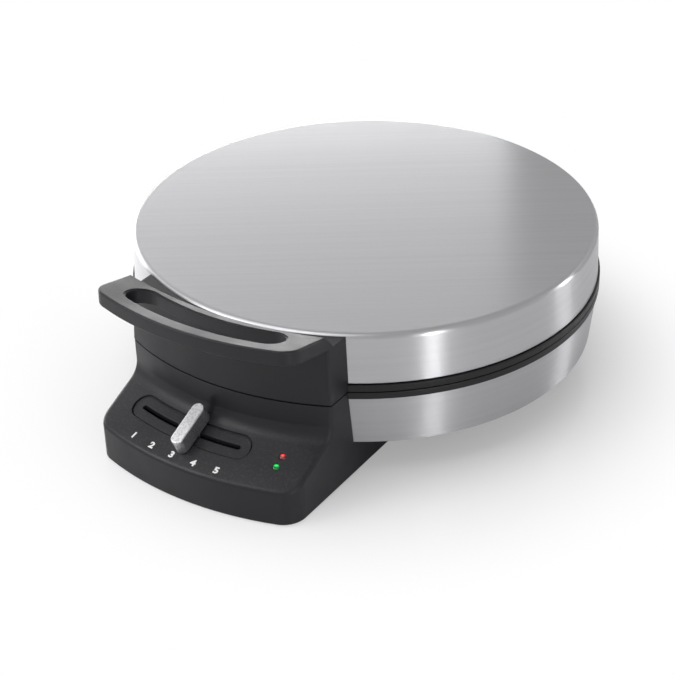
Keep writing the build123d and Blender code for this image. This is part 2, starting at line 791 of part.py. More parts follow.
def base_bowl():
    """Plastic bowl of the base: floor, wall and rim ring, with the window for the slider's arm."""
    low = band_outer(band_bottom_z) - sheet - skin_gap
    high = band_outer(band_top_z) - sheet - skin_gap
    outer = turned(section([(0, band_bottom_z), (low, band_bottom_z), (high, band_top_z), (0, band_top_z)]))
    ring = rod(0, 0, band_top_z, lower_face_z, ring_outer_radius)
    ring = fillet(ring.edges().filter_by(GeomType.CIRCLE), ring_edge_round)
    hollow = turned(section([(0, floor_top_z), (low - shell_wall, floor_top_z),
                             (high - shell_wall, band_top_z - shell_wall), (ring_inner_radius, band_top_z),
                             (ring_inner_radius, big), (0, big)]))
    bowl = outer + ring - hollow
    for x, y in four(post_x, post_y):
        bowl -= rod(x, y, 0, floor_top_z, m4_radius + screw_clearance)
    for x, y in four(frame_screw_x, frame_screw_y):
        bowl += rod(x, y, floor_top_z, floor_top_z + floor_boss, frame_boss_radius)
        bowl -= rod(x, y, 0, floor_top_z + floor_boss, m4_radius + screw_clearance)
    half = degrees((arm_width / 2 + window_margin) / band_bottom_radius)
    inner = band_bottom_radius - window_depth
    window_low = arm_z - window_margin
    window_high = arm_z + arm_thickness + window_margin
    face = section([(inner, window_low), (big, window_low), (big, window_high), (inner, window_high)])
    window = turned(face, knob_rest_angle + slider_first - half, slider_last - slider_first + 2 * half)
    return bowl - window


def band_sheet():
    """Steel band of the base, all the way round."""
    low, high = band_outer(band_bottom_z), band_outer(band_top_z)
    return turned(section([(low - sheet, band_bottom_z), (low, band_bottom_z), (high, band_top_z),
                           (high - sheet, band_top_z)]))


def base_band(side):
    """Half of the steel band, on the side of -X or +X."""
    room = column(skirt_half_width, -big, 0, 0, big) + column(hinge_skirt_half, 0, big, 0, big)
    keep = Pos(side * big / 2, 0, 0) * Box(big, 2 * big, 2 * big)
    return (band_sheet() - room) & keep


def drum_room():
    """Room for the base's drum in the foot frame."""
    low = band_outer(band_bottom_z) + seat_gap
    high = band_outer(band_top_z) + seat_gap
    rim = ring_outer_radius + seat_gap
    return turned(section([(0, plinth_top_z), (low, plinth_top_z), (high, band_top_z - seat_gap),
                           (rim, band_top_z - seat_gap), (rim, big), (0, big)]))


def front_section():
    """Section of the foot's front: skirt, sloping panel, hollow curve and upright wall."""
    core = band_bottom_radius - frame_wall
    corner_z = panel_z(block_face_radius)
    face = section([(core, foot_height), (panel_edge_radius + panel_foot_flare, foot_height),
                    (panel_edge_radius, panel_edge_z), (block_face_radius, corner_z),
                    (block_face_radius, lower_face_z), (core, lower_face_z)])
    return softened(face, [(block_face_radius, corner_z, panel_hollow_round)])


def foot_plan(inset):
    """Plan of the foot's front, with rounded corners, drawn in by an inset."""
    edge = panel_edge_radius + panel_foot_flare - inset
    half = block_half_width - inset
    corner_y = sqrt(edge ** 2 - half ** 2)
    arc = ThreePointArc((-half, -corner_y), (0, -edge), (half, -corner_y))
    sides = Polyline((half, -corner_y), (half, 0), (-half, 0), (-half, -corner_y))
    plan = make_face(Wire([arc, *sides.edges()]))
    corners = plan.vertices().group_by(Axis.Y)[0]
    return fillet(corners, panel_corner_round - inset)


def foot_outer():
    """Outer shape of the foot: front housing, plinth under the drum and rear block."""
    front = turned(front_section(), -90, 180) & through(foot_plan(0), 0, big)
    front = fillet(panel_edges(front), panel_round)
    plinth = column(block_half_width, -band_bottom_radius, rear_wall_y, foot_height, plinth_top_z)
    tower = column(hinge_half_width, 0, rear_wall_y, foot_height, lower_face_z)
    for part in (plinth, tower):
        upright = part.edges().filter_by(Axis.Z).group_by(Axis.Y)[-1]
        front += fillet(upright, hinge_block_round)
    return front


def panel_edges(front):
    """Edges round the panel and up the two corners of the wall, on the foot's front."""
    corner_y = -sqrt(block_face_radius ** 2 - block_half_width ** 2)
    picked = []
    for edge in front.edges():
        box = edge.bounding_box()
        at_side = box.min.X * box.max.X > 0 and min(abs(box.min.X), abs(box.max.X)) > block_half_width / 2
        at_front = box.max.Z < panel_edge_z + pick_margin
        above_floor = box.min.Z > foot_height + pick_margin
        before_wall = box.max.Y < corner_y + pick_margin
        below_top = box.min.Z < lower_face_z - pick_margin
        if above_floor and below_top and before_wall and (at_side or at_front):
            picked.append(edge)
    return picked


def foot_frame():
    """Foot frame: one hollow moulding, open below, with the hinge's outer knuckles at the rear."""
    outer = foot_outer()
    room = drum_room()
    hollow_face = offset(front_section(), -frame_wall)
    hollow = turned(hollow_face, -90, 180) & through(foot_plan(frame_wall), 0, big)
    low = through(foot_plan(frame_wall), 0, foot_height + frame_wall)
    inner = block_half_width - frame_wall
    plinth = column(inner, -band_bottom_radius, rear_wall_y - frame_wall, 0, plinth_low_z)
    rear_top = parting_z - knuckle_radius - knuckle_relief - frame_wall
    tower_half = hinge_half_width - frame_wall
    rear = column(tower_half, band_bottom_radius + 2 * frame_wall, rear_wall_y - frame_wall, 0, rear_top)
    frame = outer - room - hollow - low - plinth - rear
    bosses = [rod(side * frame_boss_x, y, bottom_top_z, big, frame_boss_radius)
              for side in (-1, 1) for y in frame_boss_ys]
    solid = outer - room
    for boss in bosses:
        frame += boss & solid
    knuckle_length = base_knuckle_outer - base_knuckle_inner
    for side in (-1, 1):
        middle = side * (base_knuckle_outer + base_knuckle_inner) / 2
        barrel = Rot(0, 90, 0) * Cylinder(knuckle_radius, knuckle_length)
        frame += Pos(middle, hinge_y, parting_z) * barrel
        bore = Rot(0, 90, 0) * Cylinder(pin_radius + fixed_gap, base_knuckle_outer - pin_inner)
        frame -= Pos(side * (base_knuckle_outer + pin_inner) / 2, hinge_y, parting_z) * bore
    relief_half = lid_knuckle_half + knuckle_relief
    relief = Rot(0, 90, 0) * Cylinder(knuckle_radius + knuckle_relief, 2 * relief_half)
    frame -= Pos(0, hinge_y, parting_z) * relief
    for side in (-1, 1):
        for y in frame_boss_ys:
            hole = m3_radius + screw_clearance
            frame -= rod(side * frame_boss_x, y, 0, bottom_top_z + bottom_screw_length, hole)
    for x, y in four(frame_screw_x, frame_screw_y):
        frame -= rod(x, y, 0, plinth_top_z, m4_radius + screw_clearance)
    frame -= panel_cuts()
    hole = Rot(90, 0, 0) * Cylinder(gland_body + screw_clearance, 2 * gland_length)
    return frame - Pos(gland_x, rear_wall_y, gland_z) * hole


def on_panel(radius, x):
    """Plane on the sloping panel at a radius and an x, with its z axis along the panel's normal."""
    angle = degrees(atan2(x, sqrt(radius ** 2 - x ** 2)))
    px, py = polar(radius, angle)
    ox, oy = polar(1, angle)
    s, c = sin(radians(panel_slope)), cos(radians(panel_slope))
    return Plane(origin=(px, py, panel_z(radius)), x_dir=(-oy, ox, 0), z_dir=(s * ox, s * oy, c))


def lamp_planes():
    """Planes of the two lamps on the panel."""
    return on_panel(power_lamp_radius, lamp_x), on_panel(ready_lamp_radius, lamp_x)


def panel_cuts():
    """Slider slot, the shallow recess round it and the lamp holes."""
    slot = through(arc_plan(slot_radius, slot_width, slot_first_angle, slot_last_angle), arm_low_z, big)
    drop = recess_depth / cos(radians(panel_slope))
    inner, outer = slot_radius - recess_width, slot_radius + recess_width
    above = turned(section([(inner, panel_z(inner) - drop), (outer, panel_z(outer) - drop),
                            (outer, big), (inner, big)]))
    plan = arc_plan(slot_radius, recess_width, slot_first_angle - recess_end_margin,
                    slot_last_angle + recess_end_margin)
    rim_end = recess_end_margin + degrees(recess_rim_width / slot_radius)
    rim_plan = arc_plan(slot_radius, recess_width + 2 * recess_rim_width, slot_first_angle - rim_end,
                        slot_last_angle + rim_end) - plan
    deep = (recess_rim_depth - recess_depth) / cos(radians(panel_slope))
    cuts = slot + (through(plan, 0, big) & above) + (through(rim_plan, 0, big) & Pos(0, 0, -deep) * above)
    for plane in lamp_planes():
        cuts += plane * Cylinder(lens_radius + screw_clearance, 4 * frame_wall)
    return cuts


def lamp(plane):
    """Round lens with a collar behind the panel."""
    length = frame_wall + lens_stand
    lens = Pos(0, 0, lens_stand - length / 2) * Cylinder(lens_radius, length)
    lens = fillet(lens.edges().group_by(Axis.Z)[-1], lens_round)
    collar_top = -frame_wall - element_gap
    collar = Cylinder(lens_radius + lens_flange, lens_flange_height)
    collar = Pos(0, 0, collar_top - lens_flange_height / 2) * collar
    stem = Pos(0, 0, collar_top + element_gap / 2) * Cylinder(lens_radius, element_gap)
    return plane * (lens + stem + collar)


def lamp_holder():
    """Carrier behind the panel that holds both lamps, with two posts up to the panel."""
    middle_radius = (power_lamp_radius + ready_lamp_radius) / 2
    plane = on_panel(middle_radius, lamp_x)
    top = -frame_wall - lens_flange_height - 3 * element_gap
    plate = Pos(0, 0, top - holder_size[2] / 2) * Box(*holder_size)
    post = Cylinder(holder_post_radius, lens_flange_height)
    for side in (-1, 1):
        plate += Pos(side * holder_post_x, 0, top + lens_flange_height / 2) * post
    return plane * plate


def bottom_plate():
    """Flat plate that closes the foot from below."""
    inset = frame_wall + bottom_gap
    plate = through(foot_plan(inset), bottom_low_z, bottom_top_z)
    half = block_half_width - inset
    plate += column(half, -block_half_width, rear_wall_y - inset, bottom_low_z, bottom_top_z)
    for side in (-1, 1):
        for y in frame_boss_ys:
            plate -= rod(side * frame_boss_x, y, 0, big, m3_radius + screw_clearance)
            seat = bottom_low_z + bottom_sheet / 2
            plate -= rod(side * frame_boss_x, y, 0, seat, m3_head_radius + screw_clearance)
    for x, y in foot_places():
        plate -= rod(x, y, 0, big, rubber_stem)
    return plate


def foot_places():
    """Places of the rubber feet."""
    return [(side * rubber_x, y) for side in (-1, 1) for y in (-rubber_front_y, rubber_rear_y)]


def rubber_feet():
    """Four rubber feet, each with a stem through the bottom plate."""
    pad = fillet(rod(0, 0, 0, bottom_low_z, rubber_radius).edges().group_by(Axis.Z)[0], rubber_round)
    one = pad + rod(0, 0, bottom_low_z, bottom_top_z + rubber_stem_end, rubber_stem)
    return group(Pos(x, y, 0) * one for x, y in foot_places())


def bottom_screws():
    """Screws from below into the frame's bosses."""
    one = screw(m3_radius, bottom_screw_length, m3_head_radius, bottom_sheet / 2 - head_sink)
    seat = bottom_low_z + bottom_sheet / 2
    return group(Pos(side * frame_boss_x, y, seat) * one for side in (-1, 1) for y in frame_boss_ys)


def frame_screws():
    """Screws from inside the plinth into the bowl's floor bosses."""
    length = frame_wall + shell_wall + floor_boss - screw_end_gap
    one = screw(m4_radius, length, m4_head_radius, m4_head)
    return group(Pos(x, y, plinth_low_z) * one for x, y in four(frame_screw_x, frame_screw_y))


def terminal_block():
    """Terminal block on the bottom plate, with three screw wells."""
    length, width, height = terminal_size
    body = Pos(terminal_x, terminal_y, bottom_top_z + height / 2) * Box(length, width, height)
    for k in (-1, 0, 1):
        body -= rod(terminal_x + k * length / 3, terminal_y, bottom_top_z + height / 2, big, terminal_well)
    return body


def cord_gland():
    """Gland for the supply cord in the rear wall, with its flange outside and its nut inside."""
    body = Rot(90, 0, 0) * Cylinder(gland_body, gland_length)
    body = Pos(0, gland_length / 2 - gland_flange_thickness, 0) * body
    flange = Rot(90, 0, 0) * Cylinder(gland_flange, gland_flange_thickness)
    flange = Pos(0, -gland_flange_thickness / 2, 0) * flange
    nut = Rot(90, 0, 0) * extrude(RegularPolygon(gland_nut, 6), gland_nut_thickness)
    nut = Pos(0, frame_wall + element_gap + gland_nut_thickness, 0) * nut
    gland = body + flange + nut
    gland -= Rot(90, 0, 0) * Cylinder(gland_bore, big)
    return Pos(gland_x, rear_wall_y, gland_z) * Rot(0, 0, 180) * gland


def hinge_pins():
    """Two steel pins, fixed in the frame's knuckles and running in the lid's knuckle."""
    length = base_knuckle_outer - pin_inner
    one = Rot(0, 90, 0) * Cylinder(pin_radius, length)
    return group(Pos(side * (pin_inner + length / 2), hinge_y, parting_z) * one for side in (-1, 1))


# Slider

def slider_knob():
    """Slider knob: an upright pad along the panel's slope, with a blade through the slot."""
    pad_radius = slot_radius + knob_offset
    plane = on_panel(pad_radius, pad_radius * sin(radians(knob_rest_angle)))
    pad = extrude(SlotOverall(knob_length, knob_width), knob_height - knob_clearance)
    pad = fillet(pad.edges().group_by(Axis.Z)[-1], knob_top_round)
    pad = plane * Pos(0, 0, knob_clearance) * Rot(0, 0, 90) * pad
    pad -= turned(offset(front_section(), knob_clearance), -90, 180)
    blade_top = panel_z(slot_radius) + knob_height / 2
    blade_low = arm_z - arm_drop + arm_thickness
    blade = Box(blade_length, blade_thickness, blade_top - blade_low)
    x, y = polar(slot_radius, knob_rest_angle)
    blade = Pos(x, y, (blade_top + blade_low) / 2) * Rot(0, 0, knob_rest_angle) * blade
    return pad + blade


def slider_arm():
    """Flat steel arm from the knob's blade to the thermostat's spindle, stepped down at the bowl."""
    top = arm_z + arm_thickness
    low_top = top - arm_drop
    step = arm_step_radius + arm_drop
    points = [(0, top), (arm_step_radius, top), (step, low_top), (arm_reach, low_top),
              (arm_reach, arm_low_z), (step - arm_step_lean, arm_low_z),
              (arm_step_radius - arm_step_lean, arm_z), (0, arm_z)]
    strap = extrude(section(points), arm_width / 2, both=True)
    arm = Rot(0, 0, knob_rest_angle - 90) * strap
    arm += rod(0, 0, arm_z, top, arm_hub_radius)
    return arm - rod(0, 0, 0, big, spindle_radius + fixed_gap)


def thermostat_spindle():
    """Spindle that the arm turns, from the arm up into the thermostat."""
    low = lower_back_z - reflector_drop - reflector_thickness
    return rod(0, 0, arm_z, low + spindle_grip, spindle_radius)


NODES = {
    "lid_steel_cover": lid_steel_cover,
    "lid_shell": lid_shell,
    "front_handle": front_handle,
    "handle_screws": lambda: group(block_screws(-1, block_screw_length)),
    "lid_hinge_block": lid_hinge_block,
    "hinge_block_screws": lambda: group(block_screws(1, hinge_screw_length)),
    "upper_baking_plate": upper_baking_plate,
    "upper_plate_screws": upper_plate_screws,
    "upper_heating_element": lambda: Pos(0, 0, upper_back_z + element_tube + element_gap) * heating_element(),
    "upper_heat_reflector": lambda: reflector(upper_back_z, 1),
    "upper_reflector_screws": lambda: reflector_screws(upper_back_z, 1),
    "upper_thermal_fuse": lambda: thermal_fuse(upper_back_z, 1),
    "base_bowl": base_bowl,
    "base_band_left": lambda: base_band(-1),
    "base_band_right": lambda: base_band(1),
    "foot_frame": foot_frame,
    "bottom_plate": bottom_plate,
    "bottom_screws": bottom_screws,
    "rubber_feet": rubber_feet,
    "frame_screws": frame_screws,
    "lower_baking_plate": lower_baking_plate,
    "lower_plate_screws": lower_plate_screws,
    "lower_heating_element": lambda: Pos(0, 0, lower_back_z - element_tube - element_gap) * heating_element(),
    "lower_heat_reflector": lambda: reflector(lower_back_z, -1),
    "lower_reflector_screws": lambda: reflector_screws(lower_back_z, -1),
    "thermostat_body": thermostat_body,
    "thermostat_screws": thermostat_screws,
    "lower_thermal_fuse": lambda: thermal_fuse(lower_back_z, -1),
    "power_lamp": lambda: lamp(lamp_planes()[0]),
    "ready_lamp": lambda: lamp(lamp_planes()[1]),
    "lamp_holder": lamp_holder,
    "terminal_block": terminal_block,
    "cord_gland": cord_gland,
    "hinge_pins": hinge_pins,
    "slider_knob": slider_knob,
    "slider_arm": slider_arm,
    "thermostat_spindle": thermostat_spindle,
}

os.makedirs("parts", exist_ok=True)
for node, make in NODES.items():
    export_step(Pos(0, shift_y, 0) * make(), f"parts/{node}.step")
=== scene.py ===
import logging
import math
from dataclasses import dataclass
from enum import Enum
from typing import Iterable, Sequence

import bpy
from mathutils import Matrix, Vector


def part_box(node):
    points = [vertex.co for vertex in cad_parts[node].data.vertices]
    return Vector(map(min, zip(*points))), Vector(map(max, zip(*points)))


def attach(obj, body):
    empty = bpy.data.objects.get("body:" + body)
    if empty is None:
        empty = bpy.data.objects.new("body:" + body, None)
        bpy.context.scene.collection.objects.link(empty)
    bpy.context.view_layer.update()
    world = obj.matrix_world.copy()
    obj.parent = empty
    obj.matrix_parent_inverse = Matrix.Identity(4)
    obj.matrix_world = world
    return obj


logging.basicConfig(level=logging.INFO, format="%(name)s: %(message)s")
LOG = logging.getLogger("waffle_maker")

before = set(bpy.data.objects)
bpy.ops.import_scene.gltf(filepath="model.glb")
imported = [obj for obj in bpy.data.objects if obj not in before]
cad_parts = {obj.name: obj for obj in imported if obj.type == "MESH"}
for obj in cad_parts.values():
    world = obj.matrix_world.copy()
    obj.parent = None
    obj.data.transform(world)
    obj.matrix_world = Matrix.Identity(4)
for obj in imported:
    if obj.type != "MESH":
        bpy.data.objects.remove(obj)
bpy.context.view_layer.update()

Colour = tuple[float, float, float]
Point = tuple[float, float, float]
Socket = bpy.types.NodeSocket

# The drum stands upright at x = 0 and at this y. All lengths are in metres.
DRUM_AXIS_Y = 0.01005
# Depth that a grain height of 1 stands for on moulded, cast and plated skins.
GRAIN_DEPTH = 0.0001


class Brushing(Enum):
    """Which way the grinding lines of a steel sheet run."""

    ROUND_THE_DRUM = "round the drum"
    LID = "straight over the top, round the skirt"


class Mix(Enum):
    """What a Mix node mixes: its data type, the place of its first input and of its output."""

    COLOUR = ("RGBA", 6, 2)
    VECTOR = ("VECTOR", 4, 1)


class Bench:
    """Hand tools for wiring one shader node tree."""

    def __init__(self, tree: bpy.types.NodeTree) -> None:
        """Take the tree that is worked on.

        Args:
            tree: Node tree of a material, a world or a node group.
        """
        self.nodes = tree.nodes
        self.links = tree.links

    def add(self, kind: str, **settings: object) -> bpy.types.Node:
        """Add one node.

        Args:
            kind: Blender's type name of the node.
            **settings: Properties to set on the node.

        Returns:
            The new node.
        """
        node = self.nodes.new(kind)
        for name, value in settings.items():
            setattr(node, name, value)
        return node

    def wire(self, source: Socket, target: Socket) -> None:
        """Link an output to an input.

        Args:
            source: The output.
            target: The input.
        """
        self.links.new(source, target)

    def give(self, value: object, target: Socket) -> None:
        """Link a socket to an input, or set a constant on it.

        Args:
            value: Socket to link, or the constant.
            target: The input.
        """
        if isinstance(value, Socket):
            self.wire(value, target)
        else:
            target.default_value = value

    def calc(self, operation: str, *values: object) -> Socket:
        """Add a Math node.

        Args:
            operation: Name of the Math operation.
            *values: Sockets to link or numbers to set, in order.

        Returns:
            The node's result.
        """
        node = self.add("ShaderNodeMath", operation=operation)
        for socket, value in zip(node.inputs, values):
            self.give(value, socket)
        return node.outputs[0]

    def span(self, value: Socket, low: float, high: float,
             to_low: float = 0.0, to_high: float = 1.0) -> Socket:
        """Map one range smoothly onto another, clamped at both ends.

        Args:
            value: Socket to map.
            low: Start of the range that comes in.
            high: End of the range that comes in.
            to_low: Start of the range that goes out.
            to_high: End of the range that goes out.

        Returns:
            The mapped value.
        """
        node = self.add("ShaderNodeMapRange", interpolation_type="SMOOTHSTEP")
        self.wire(value, node.inputs["Value"])
        ends = ("From Min", low), ("From Max", high), ("To Min", to_low), ("To Max", to_high)
        for name, number in ends:
            node.inputs[name].default_value = number
        return node.outputs["Result"]

    def blend(self, factor: Socket, first: object, second: object,
              kind: Mix = Mix.COLOUR) -> Socket:
        """Mix two colours or vectors.

        Args:
            factor: Share of the second one.
            first: Colour or socket at factor 0.
            second: Colour or socket at factor 1.
            kind: Whether colours or vectors are mixed.

        Returns:
            The mixed value.
        """
        data_type, start, result = kind.value
        node = self.add("ShaderNodeMix", data_type=data_type)
        self.wire(factor, node.inputs[0])
        for place, value in enumerate((first, second), start):
            self.give((*value, 1.0) if isinstance(value, tuple) else value, node.inputs[place])
        return node.outputs[result]

    def noise(self, vector: Socket, scale: object, detail: float, roughness: float) -> Socket:
        """Add a noise texture.

        Args:
            vector: Coordinates to read.
            scale: Number or socket for the texture's scale.
            detail: Octaves.
            roughness: Weight of the finer octaves.

        Returns:
            The noise value, about 0.5 on average.
        """
        node = self.add("ShaderNodeTexNoise")
        self.wire(vector, node.inputs["Vector"])
        self.give(scale, node.inputs["Scale"])
        node.inputs["Detail"].default_value = detail
        node.inputs["Roughness"].default_value = roughness
        return node.outputs[0]

    def place(self) -> Socket:
        """Add the coordinates of the piece.

        Returns:
            The Object coordinates.
        """
        return self.add("ShaderNodeTexCoord").outputs["Object"]


class Effects:
    """Shader node groups that several finishes share, each built once."""

    def __init__(self) -> None:
        """Build the groups."""
        self.grain = self._grain()
        self.streaks = self._streaks()
        self.dust = self._dust()

    @staticmethod
    def _group(
        name: str, inputs: Iterable[tuple[str, str, object]], outputs: Iterable[str],
    ) -> tuple[bpy.types.NodeTree, Bench, bpy.types.Node, bpy.types.Node]:
        """Start a group.

        Args:
            name: Name of the group.
            inputs: Name, socket type and default of each input.
            outputs: Names of the outputs, which are all numbers.

        Returns:
            The tree, its bench and its input and output nodes.
        """
        tree = bpy.data.node_groups.new(name, "ShaderNodeTree")
        for label, kind, value in inputs:
            socket = tree.interface.new_socket(label, in_out="INPUT", socket_type=kind)
            if value is not None:
                socket.default_value = value
        for label in outputs:
            tree.interface.new_socket(label, in_out="OUTPUT", socket_type="NodeSocketFloat")
        bench = Bench(tree)
        return tree, bench, bench.add("NodeGroupInput"), bench.add("NodeGroupOutput")

    def _grain(self) -> bpy.types.NodeTree:
        """Fine pits of a moulded or cast skin, with a broad cloudy tone.

        Returns:
            Group with the input Scale and the outputs Height and Cloud.
        """
        pit_share = 0.5
        cloud_size = 0.02
        tree, bench, source, result = self._group(
            "fine_grain", [("Scale", "NodeSocketFloat", 1500.0)], ("Height", "Cloud"))
        place = bench.place()
        fine = bench.noise(place, source.outputs["Scale"], detail=3.0, roughness=0.6)
        pits = bench.add("ShaderNodeTexVoronoi")
        bench.wire(place, pits.inputs["Vector"])
        bench.wire(source.outputs["Scale"], pits.inputs["Scale"])
        sunk = bench.calc("MULTIPLY", pits.outputs["Distance"], pit_share)
        broad_scale = bench.calc("MULTIPLY", source.outputs["Scale"], cloud_size)
        cloud = bench.noise(place, broad_scale, detail=4.0, roughness=0.6)
        bench.wire(bench.calc("ADD", fine, sunk), result.inputs["Height"])
        bench.wire(cloud, result.inputs["Cloud"])
        return tree

    def _streaks(self) -> bpy.types.NodeTree:
        """Grinding lines that run along X of the coordinates that come in.

        Returns:
            Group with the inputs Vector, Length and Fineness and the outputs Height and Tone.
        """
        half = 0.5
        tree, bench, source, result = self._group(
            "grinding_lines",
            [("Vector", "NodeSocketVector", None), ("Length", "NodeSocketFloat", 12.0),
             ("Fineness", "NodeSocketFloat", 2500.0)], ("Height", "Tone"))
        parts = bench.add("ShaderNodeSeparateXYZ")
        bench.wire(source.outputs["Vector"], parts.inputs[0])
        drawn = bench.add("ShaderNodeCombineXYZ")
        for axis, factor in (("X", "Length"), ("Y", "Fineness"), ("Z", "Fineness")):
            scaled = bench.calc("MULTIPLY", parts.outputs[axis], source.outputs[factor])
            bench.wire(scaled, drawn.inputs[axis])
        fine = bench.noise(drawn.outputs[0], scale=1.0, detail=3.0, roughness=0.65)
        broad = bench.noise(drawn.outputs[0], scale=0.12, detail=3.0, roughness=0.6)
        halves = [bench.calc("MULTIPLY", lines, half) for lines in (fine, broad)]
        bench.wire(fine, result.inputs["Height"])
        bench.wire(bench.calc("ADD", *halves), result.inputs["Tone"])
        return tree

    def _dust(self) -> bpy.types.NodeTree:
        """Thin settled dust, thicker on faces that look up.

        Returns:
            Group with the input Amount and the output Mask.
        """
        tree, bench, source, result = self._group(
            "settled_dust", [("Amount", "NodeSocketFloat", 0.1)], ("Mask",))
        coords = bench.add("ShaderNodeTexCoord")
        facing = bench.add("ShaderNodeSeparateXYZ")
        bench.wire(coords.outputs["Normal"], facing.inputs[0])
        up = bench.span(facing.outputs["Z"], low=0.3, high=1.0)
        motes = bench.noise(coords.outputs["Object"], scale=900.0, detail=4.0, roughness=0.7)
        specks = bench.span(motes, low=0.45, high=0.75)
        settled = bench.calc("MULTIPLY", up, specks)
        mask = bench.calc("MULTIPLY", settled, source.outputs["Amount"])
        bench.wire(mask, result.inputs["Mask"])
        return tree


class Surface:
    """One material under construction: a Principled shader and the bench that wires it."""

    edge_samples: int = 6
    cloud_low: float = 0.3
    cloud_high: float = 0.7

    def __init__(self, name: str) -> None:
        """Start the material.

        Args:
            name: Name of the material.
        """
        self.material = bpy.data.materials.new(name)
        self.material.use_nodes = True
        self.bench = Bench(self.material.node_tree)
        self.shader = self.material.node_tree.nodes["Principled BSDF"]

    def put(self, **values: object) -> None:
        """Set constant inputs of the shader.

        Args:
            **values: Input names, with underscores for their spaces, and what they are set to.
        """
        for name, value in values.items():
            self.shader.inputs[name.replace("_", " ")].default_value = value

    def feed(self, name: str, source: Socket) -> None:
        """Link a socket to an input of the shader.

        Args:
            name: Name of the input.
            source: The socket.
        """
        self.bench.wire(source, self.shader.inputs[name])

    def effect(self, group: bpy.types.NodeTree, **values: float) -> bpy.types.Node:
        """Place a shared effect in the material.

        Args:
            group: The effect's node group.
            **values: Numbers for its inputs.

        Returns:
            The group node.
        """
        node = self.bench.add("ShaderNodeGroup", node_tree=group)
        for name, value in values.items():
            node.inputs[name].default_value = value
        return node

    def cloud_roughness(self, grain: bpy.types.Node, low: float, high: float) -> None:
        """Let the roughness follow the cloudy tone of the grain.

        Args:
            grain: The grain's group node.
            low: Roughness where the tone is darkest.
            high: Roughness where it is brightest.
        """
        self.feed("Roughness", self.bench.span(
            grain.outputs["Cloud"], self.cloud_low, self.cloud_high, low, high))

    def bump(self, height: Socket, strength: float, depth: float, edge: float = 0.0) -> None:
        """Feed a height to the shader's normal.

        Args:
            height: Height from 0 to about 1.
            strength: Strength of the bump.
            depth: Depth in metres that a height of 1 stands for.
            edge: Radius in metres to which sharp edges look broken, or 0 to leave them.
        """
        node = self.bench.add("ShaderNodeBump")
        if edge:
            broken = self.bench.add("ShaderNodeBevel", samples=self.edge_samples)
            broken.inputs["Radius"].default_value = edge
            self.bench.wire(broken.outputs[0], node.inputs["Normal"])
        node.inputs["Strength"].default_value = strength
        node.inputs["Distance"].default_value = depth
        self.bench.wire(height, node.inputs["Height"])
        self.feed("Normal", node.outputs[0])


@dataclass(frozen=True)
class Finish:
    """A kind of surface. Each subclass says how its shader is wired."""

    name: str

    def make(self, effects: Effects) -> bpy.types.Material:
        """Build the material.

        Args:
            effects: The shared node groups.

        Returns:
            The material.
        """
        surface = Surface(self.name)
        self.work(surface, effects)
        return surface.material

    def work(self, surface: Surface, effects: Effects) -> None:
        """Wire the shader.

        Args:
            surface: The material under construction.
            effects: The shared node groups.
        """
        raise NotImplementedError


@dataclass(frozen=True)
class BrushedSteel(Finish):
    """Stainless sheet with fine grinding lines. Angles are in degrees.

    The lines and the highlights turn from the skirt's way to the top's between top_low and
    top_high. line_length and line_fineness are the noise's scale along and across the lines.
    """

    brushing: Brushing
    bright: Colour = (0.545, 0.545, 0.56)
    dull: Colour = (0.515, 0.515, 0.53)
    roughness: float = 0.34
    spread: float = 0.02
    anisotropy: float = 0.85
    line_length: float = 10.0
    line_fineness: float = 3400.0
    line_bump: float = 0.05
    line_depth: float = 0.00002
    top_angle: float = 34.0
    top_low: float = 0.0722
    top_high: float = 0.0728
    broken_edge: float = 0.0005

    def directions(self, bench: Bench) -> tuple[Socket, Socket]:
        """Work out how the lines and the highlights run.

        Args:
            bench: The bench of the material.

        Returns:
            Coordinates whose X runs along the lines, and the shader's tangent.
        """
        centred = bench.add("ShaderNodeVectorMath", operation="SUBTRACT")
        bench.wire(bench.place(), centred.inputs[0])
        centred.inputs[1].default_value = (0.0, DRUM_AXIS_Y, 0.0)
        parts = bench.add("ShaderNodeSeparateXYZ")
        bench.wire(centred.outputs[0], parts.inputs[0])
        low = bench.add("ShaderNodeCombineXYZ")
        bench.wire(bench.calc("ADD", parts.outputs["X"], parts.outputs["Y"]), low.inputs["X"])
        bench.wire(parts.outputs["Z"], low.inputs["Y"])
        upright = bench.add("ShaderNodeCombineXYZ")
        upright.inputs["Z"].default_value = 1.0
        lines, tangent = low.outputs[0], upright.outputs[0]
        if self.brushing is Brushing.LID:
            angle = math.radians(self.top_angle)
            turn = bench.add("ShaderNodeVectorRotate", rotation_type="Z_AXIS")
            bench.wire(centred.outputs[0], turn.inputs["Vector"])
            turn.inputs["Angle"].default_value = -angle
            flat = bench.span(parts.outputs["Z"], self.top_low, self.top_high)
            lines = bench.blend(flat, lines, turn.outputs[0], Mix.VECTOR)
            across = bench.add("ShaderNodeCombineXYZ")
            across.inputs["X"].default_value = -math.sin(angle)
            across.inputs["Y"].default_value = math.cos(angle)
            tangent = bench.blend(flat, tangent, across.outputs[0], Mix.VECTOR)
        return lines, tangent

    def work(self, surface: Surface, effects: Effects) -> None:
        """Wire the shader.

        Args:
            surface: The material under construction.
            effects: The shared node groups.
        """
        bench = surface.bench
        lines, tangent = self.directions(bench)
        group = surface.effect(
            effects.streaks, Length=self.line_length, Fineness=self.line_fineness)
        bench.wire(lines, group.inputs["Vector"])
        tone = bench.span(group.outputs["Tone"], low=0.35, high=0.65)
        surface.feed("Base Color", bench.blend(tone, self.dull, self.bright))
        surface.feed("Roughness", bench.span(
            tone, 0.0, 1.0, self.roughness + self.spread, self.roughness - self.spread))
        surface.put(Metallic=1.0, Anisotropic=self.anisotropy)
        surface.feed("Tangent", tangent)
        surface.bump(group.outputs["Height"], self.line_bump, self.line_depth, self.broken_edge)


